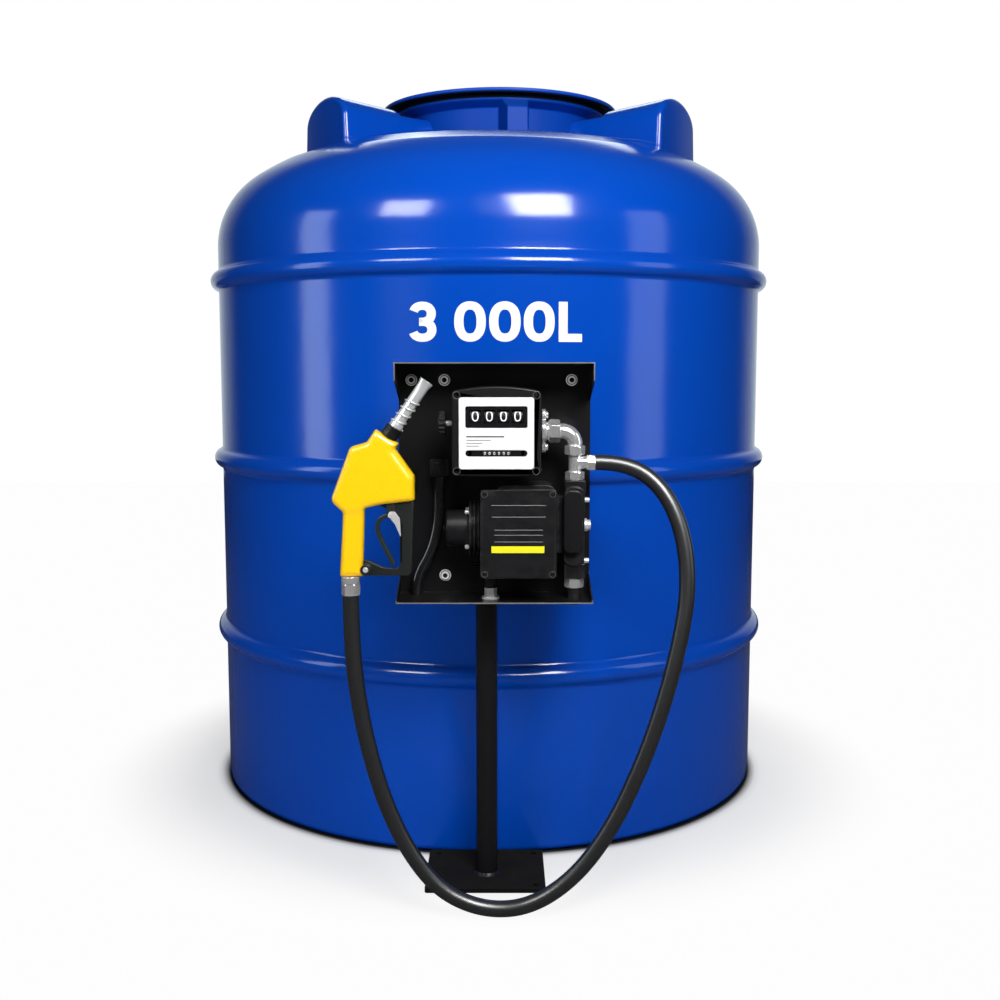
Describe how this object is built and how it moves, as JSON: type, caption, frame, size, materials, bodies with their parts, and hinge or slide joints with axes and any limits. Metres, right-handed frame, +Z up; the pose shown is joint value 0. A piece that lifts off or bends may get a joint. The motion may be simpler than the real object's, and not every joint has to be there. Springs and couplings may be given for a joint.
{
  "type": "diesel tank with pump",
  "caption": "Upright cylindrical fuel tank with a domed roof, and in front of it a pedestal pump set with meter, hose and trigger nozzle.",
  "frame": {"origin": "on the tank's axis at ground level", "axes": "+Z up, -Y towards the pump set, +X to the right seen from the pump set"},
  "size_m": [1.57, 1.912, 1.8963],
  "materials": {
    "tank_plastic": "glossy rotomoulded polyethylene",
    "black_paint": "satin black powder coat",
    "black_casting": "satin black paint on a casting",
    "black_plastic": "matt black moulding",
    "white_plastic": "white face plate",
    "zinc_steel": "zinc plated",
    "bright_zinc": "bright plated pipe fittings",
    "spout_metal": "bright turned tube",
    "hose_rubber": "smooth satin rubber",
    "cable_rubber": "smooth satin rubber",
    "yellow_paint": "glossy moulded cover",
    "guard_plastic": "matt moulding",
    "lever_plastic": "matt coated steel"
  },
  "bodies": {
    "tank_set": {"tank_wall": "tank_plastic", "tank_floor": "tank_plastic", "tank_roof": "tank_plastic", "manhole_neck": "tank_plastic", "manhole_lid": "tank_plastic", "base_plate": "black_paint", "post": "black_paint", "panel": "black_paint", "panel_bolts": "zinc_steel", "meter_chamber": "black_casting", "meter_housing": "black_casting", "meter_face": "white_plastic", "counter_drums": "black_plastic", "reset_shaft": "zinc_steel", "motor_cap": "black_casting", "motor_fins": "black_casting", "pump_studs": "zinc_steel", "pump_body": "black_casting", "terminal_cover": "black_casting", "case_screws": "black_plastic", "foot_nut": "zinc_steel", "pump_manifold": "black_casting", "manifold_cover": "black_casting", "relief_knob": "zinc_steel", "riser_unions": "bright_zinc", "inlet_pipe": "black_casting", "tee": "bright_zinc", "elbow": "bright_zinc", "meter_union": "bright_zinc", "meter_flange": "bright_zinc", "hose_ferrule": "bright_zinc", "delivery_hose": "hose_rubber", "power_cable": "cable_rubber", "cable_switch": "black_plastic", "nozzle_body": "yellow_paint", "trigger_guard": "guard_plastic", "nozzle_spout": "spout_metal", "spout_collar": "black_plastic", "spout_spring": "zinc_steel", "nozzle_pins": "zinc_steel", "hose_swivel": "bright_zinc", "nozzle_holder": "black_paint"},
    "lever": {"trigger_lever": "lever_plastic"},
    "latch": {"trigger_latch": "zinc_steel"},
    "knob": {"reset_knob": "black_plastic"}
  },
  "joints": [
    {"name": "trigger_squeeze", "type": "hinge", "parent": "tank_set", "child": "lever", "pos_m": [-0.191, -1.085, 0.854], "axis": [0, 1, 0], "range_deg": [0, 20], "stiffness_Nm_per_rad": 0.8, "springref_deg": -20.05},
    {"name": "latch_swing", "type": "hinge", "parent": "tank_set", "child": "latch", "pos_m": [-0.191, -1.085, 0.854], "axis": [0, 1, 0], "range_deg": [0, 18], "stiffness_Nm_per_rad": 0.02, "springref_deg": -20.05},
    {"name": "reset_turn", "type": "hinge", "parent": "tank_set", "child": "knob", "pos_m": [-0.0795, -1.03, 1.038], "axis": [1, 0, 0], "continuous": true}
  ]
}
